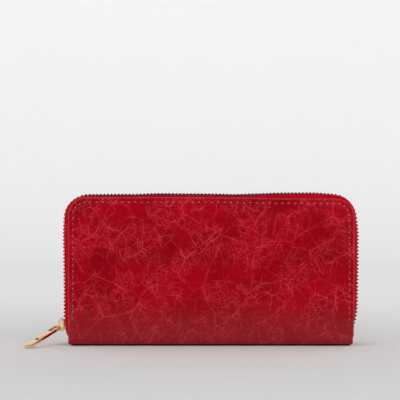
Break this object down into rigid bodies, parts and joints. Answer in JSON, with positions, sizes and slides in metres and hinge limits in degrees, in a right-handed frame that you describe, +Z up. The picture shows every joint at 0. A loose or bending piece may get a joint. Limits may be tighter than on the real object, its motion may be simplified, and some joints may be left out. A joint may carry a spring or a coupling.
{
  "type": "zip-around wallet",
  "caption": "Long leather wallet that a metal zip closes round both sides and the top, with card pockets in each cover and a zipped coin pocket between them.",
  "frame": {"origin": "middle of the spine's underside, which the closed wallet stands on", "axes": "+Z up from the spine to the zip's top run, +X to the right seen from the front, and the front cover faces -Y"},
  "size_m": [0.22, 0.0395, 0.1014],
  "materials": {
    "red_leather": "crackled, semi-gloss",
    "stiffener_board": "matt",
    "red_lining": "woven, matt",
    "red_zip_tape": "herringbone weave, matt",
    "seam_thread": "twisted thread",
    "black_metal": "blackened, satin",
    "gold_metal": "polished pale gold plate",
    "coin_coil": "satin"
  },
  "bodies": {
    "spine": {"spine_leather": "red_leather", "spine_board": "stiffener_board", "spine_lining": "red_lining", "coin_wall_front": "red_lining", "coin_wall_back": "red_lining", "coin_gusset": "red_lining", "coin_tape_front": "red_zip_tape", "coin_tape_back": "red_zip_tape", "coin_coil_front": "coin_coil", "coin_coil_back": "coin_coil", "coin_stop_left": "gold_metal", "coin_stop_right": "gold_metal"},
    "front_cover": {"front_leather": "red_leather", "front_board": "stiffener_board", "front_lining": "red_lining", "front_card_strip_1": "red_leather", "front_card_strip_2": "red_leather", "front_card_strip_3": "red_leather", "front_card_strip_4": "red_leather", "front_thread": "seam_thread", "front_tape": "red_zip_tape", "front_teeth": "black_metal", "front_stop_left": "black_metal", "front_stop_right": "black_metal"},
    "back_cover": {"back_leather": "red_leather", "back_board": "stiffener_board", "back_lining": "red_lining", "back_card_strip_1": "red_leather", "back_card_strip_2": "red_leather", "back_card_strip_3": "red_leather", "back_card_strip_4": "red_leather", "back_thread": "seam_thread", "back_tape": "red_zip_tape", "back_teeth": "black_metal", "back_stop_left": "black_metal", "back_stop_right": "black_metal"},
    "main_slider": {"slider_body": "gold_metal", "slider_bail": "gold_metal", "slider_lock": "gold_metal"},
    "main_pull": {"pull_tab": "gold_metal"},
    "coin_slider": {"coin_slider_body": "gold_metal", "coin_slider_bail": "gold_metal"},
    "coin_pull": {"coin_pull_tab": "gold_metal"}
  },
  "joints": [
    {"name": "front_cover_fold", "type": "hinge", "parent": "spine", "child": "front_cover", "pos_m": [0, -0.0112, 0.0013], "axis": [1, 0, 0], "range_deg": [0, 90]},
    {"name": "back_cover_fold", "type": "hinge", "parent": "spine", "child": "back_cover", "pos_m": [0, 0.0112, 0.0013], "axis": [-1, 0, 0], "range_deg": [0, 90]},
    {"name": "main_zip_slide", "type": "slide", "parent": "back_cover", "child": "main_slider", "axis": [0, 0, 1], "range_m": [0, 0.065]},
    {"name": "main_pull_swing", "type": "hinge", "parent": "main_slider", "child": "main_pull", "pos_m": [-0.10275, 0, 0.0105], "axis": [0, 0, 1], "range_deg": [-140, 25]},
    {"name": "coin_zip_slide", "type": "slide", "parent": "spine", "child": "coin_slider", "axis": [-1, 0, 0], "range_m": [0, 0.15]},
    {"name": "coin_pull_flip", "type": "hinge", "parent": "coin_slider", "child": "coin_pull", "pos_m": [0.077, 0, 0.07655], "axis": [0, 1, 0], "range_deg": [0, 175]}
  ]
}
